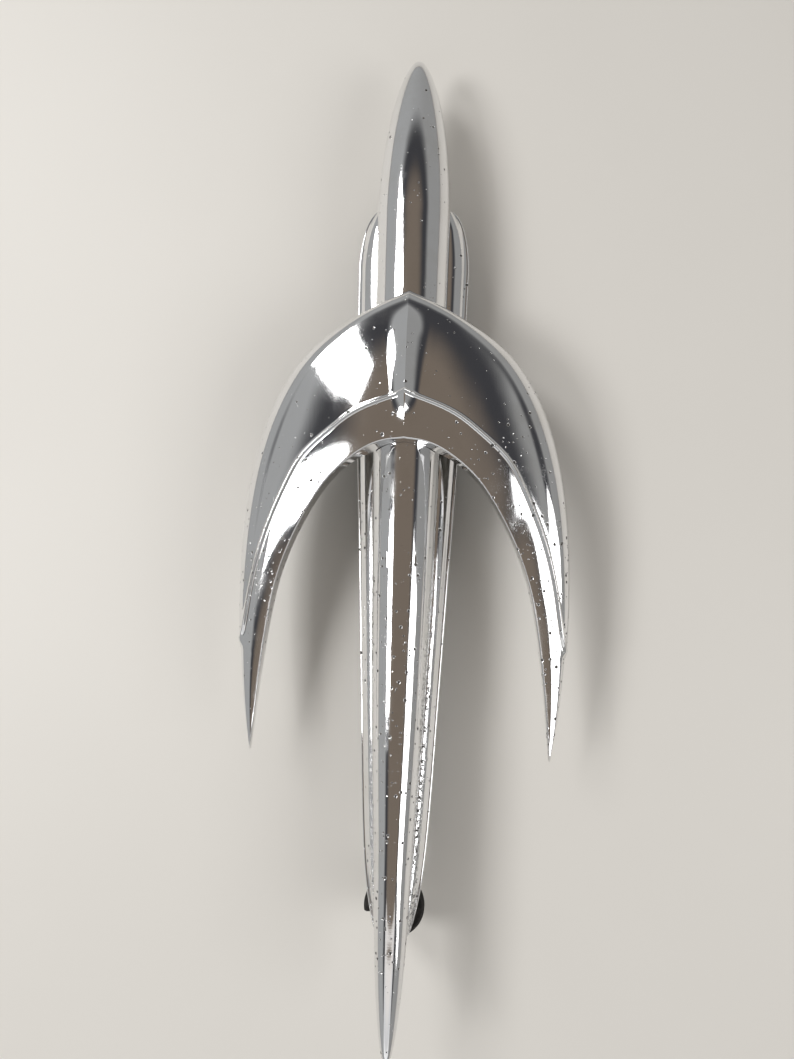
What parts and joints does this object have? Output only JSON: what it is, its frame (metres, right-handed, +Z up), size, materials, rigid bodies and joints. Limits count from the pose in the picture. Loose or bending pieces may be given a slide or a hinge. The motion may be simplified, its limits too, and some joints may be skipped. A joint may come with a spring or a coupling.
{
  "type": "hood ornament",
  "caption": "Chromed rocket-shaped car hood ornament with a separate swept-back wing, a base flange with gasket, and threaded mounting studs underneath.",
  "frame": {"origin": "on the centre stud's axis, in the plane of the hood, which is the underside of the gasket", "axes": "+Z up, away from the hood; -Y to the nose and +Y to the tail; +X across, and the part is symmetric about X = 0"},
  "size_m": [0.134, 0.4015, 0.0645],
  "materials": {
    "chrome_plate": "bright nickel-chrome plate, finely scratched and pitted",
    "black_rubber": "matte, aged",
    "stud_steel": "dull plated steel thread",
    "plated_steel": "worn zinc plate"
  },
  "bodies": {
    "ornament": {"body_casting": "chrome_plate", "wing_casting": "chrome_plate", "base_gasket": "black_rubber", "front_stud": "stud_steel", "front_rubber_washer": "black_rubber", "front_flat_washer": "plated_steel", "front_lock_washer": "plated_steel", "centre_stud": "stud_steel", "centre_rubber_washer": "black_rubber", "centre_flat_washer": "plated_steel", "centre_lock_washer": "plated_steel", "rear_stud": "stud_steel", "rear_rubber_washer": "black_rubber", "rear_flat_washer": "plated_steel", "rear_lock_washer": "plated_steel", "front_wing_screw": "plated_steel", "front_screw_washer": "plated_steel", "rear_wing_screw": "plated_steel", "rear_screw_washer": "plated_steel"},
    "front_nut": {"front_nut": "plated_steel"},
    "centre_nut": {"centre_nut": "plated_steel"},
    "rear_nut": {"rear_nut": "plated_steel"}
  },
  "joints": [
    {"name": "front_nut_turn", "type": "hinge", "parent": "ornament", "child": "front_nut", "pos_m": [0, -0.112, -0.0123], "axis": [0, 0, 1], "continuous": true},
    {"name": "centre_nut_turn", "type": "hinge", "parent": "ornament", "child": "centre_nut", "pos_m": [0, 0, -0.0123], "axis": [0, 0, 1], "continuous": true},
    {"name": "rear_nut_turn", "type": "hinge", "parent": "ornament", "child": "rear_nut", "pos_m": [0, 0.139, -0.0153], "axis": [0, 0, 1], "continuous": true}
  ]
}
